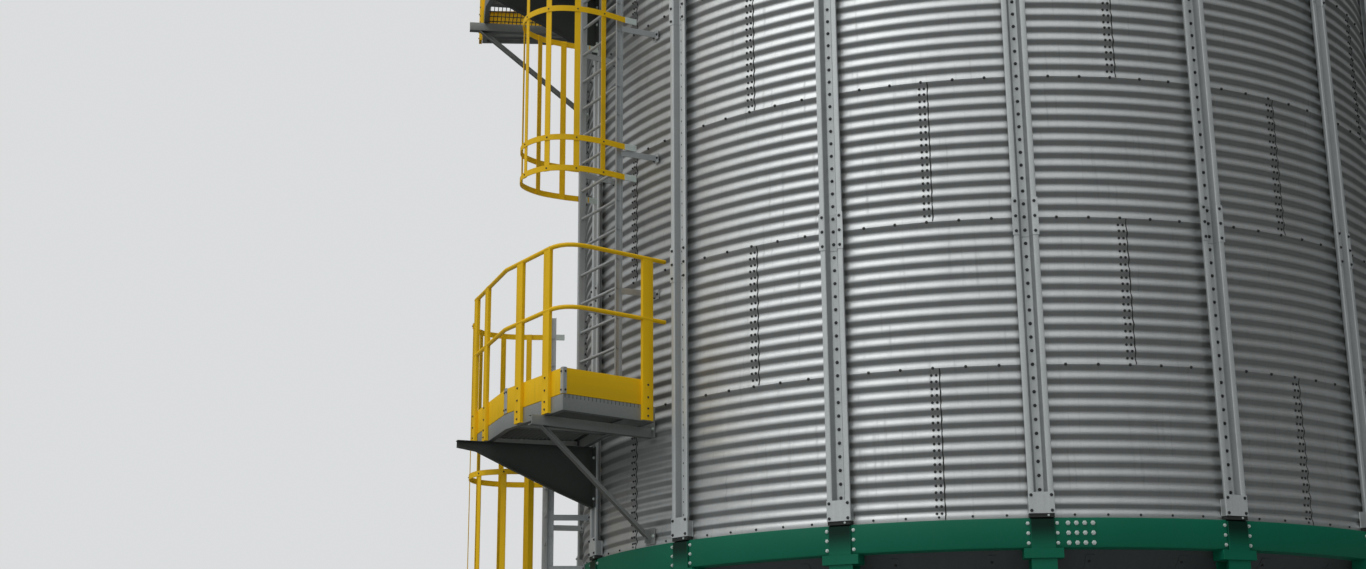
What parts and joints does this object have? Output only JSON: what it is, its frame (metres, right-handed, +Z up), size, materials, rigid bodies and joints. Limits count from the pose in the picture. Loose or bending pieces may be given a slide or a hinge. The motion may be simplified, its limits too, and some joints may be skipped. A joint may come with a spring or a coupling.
{
  "type": "hopper feed silo",
  "caption": "Corrugated galvanised feed silo with a hopper cone on green legs, a cone roof, and caged ladders rising past railed landings.",
  "frame": {"origin": "on the ground, at the middle of the silo's overall box seen from above", "axes": "+Z up, -Y towards the side with the middle ladder, so the tank's axis stands at x 0 and y 0.53 m"},
  "size_m": [7.5242, 8.5836, 16.3081],
  "materials": {
    "wall_zinc": "galvanised corrugated sheet, satin with streaks",
    "stiffener_zinc": "galvanised folded section, satin",
    "roof_zinc": "galvanised sheet, satin",
    "hopper_zinc": "weathered galvanised sheet, matt",
    "green_paint": "semi-gloss dark green paint",
    "yellow_paint": "semi-gloss safety yellow paint",
    "frame_zinc": "dark galvanised channel",
    "ladder_zinc": "galvanised section"
  },
  "bodies": {
    "root": {"wall_ring_1": "wall_zinc", "wall_ring_2": "wall_zinc", "wall_ring_3": "wall_zinc", "wall_ring_4": "wall_zinc", "wall_ring_5": "wall_zinc", "wall_ring_6": "wall_zinc", "wall_ring_7": "wall_zinc", "wall_ring_8": "wall_zinc", "wall_ring_9": "wall_zinc", "leg_pair_1": "green_paint", "leg_pair_2": "green_paint", "leg_pair_3": "green_paint", "leg_pair_4": "green_paint", "leg_pair_5": "green_paint", "leg_pair_6": "green_paint", "leg_pair_7": "green_paint", "leg_pair_8": "green_paint", "stiffener_quarter_1": "stiffener_zinc", "stiffener_quarter_2": "stiffener_zinc", "stiffener_quarter_3": "stiffener_zinc", "stiffener_quarter_4": "stiffener_zinc", "ring_beam": "green_paint", "hopper_cone": "hopper_zinc", "outlet_collar": "hopper_zinc", "roof_cone": "roof_zinc", "roof_collar": "roof_zinc", "roof_cap": "roof_zinc", "roof_hatch": "roof_zinc", "landing_1": "frame_zinc", "guard_1": "yellow_paint", "ladder_1": "ladder_zinc", "cage_1": "yellow_paint", "landing_2": "frame_zinc", "guard_2": "yellow_paint", "ladder_2": "ladder_zinc", "cage_2": "yellow_paint", "landing_3": "frame_zinc", "guard_3": "yellow_paint", "ladder_3": "ladder_zinc", "cage_3": "yellow_paint"}
  },
  "joints": []
}
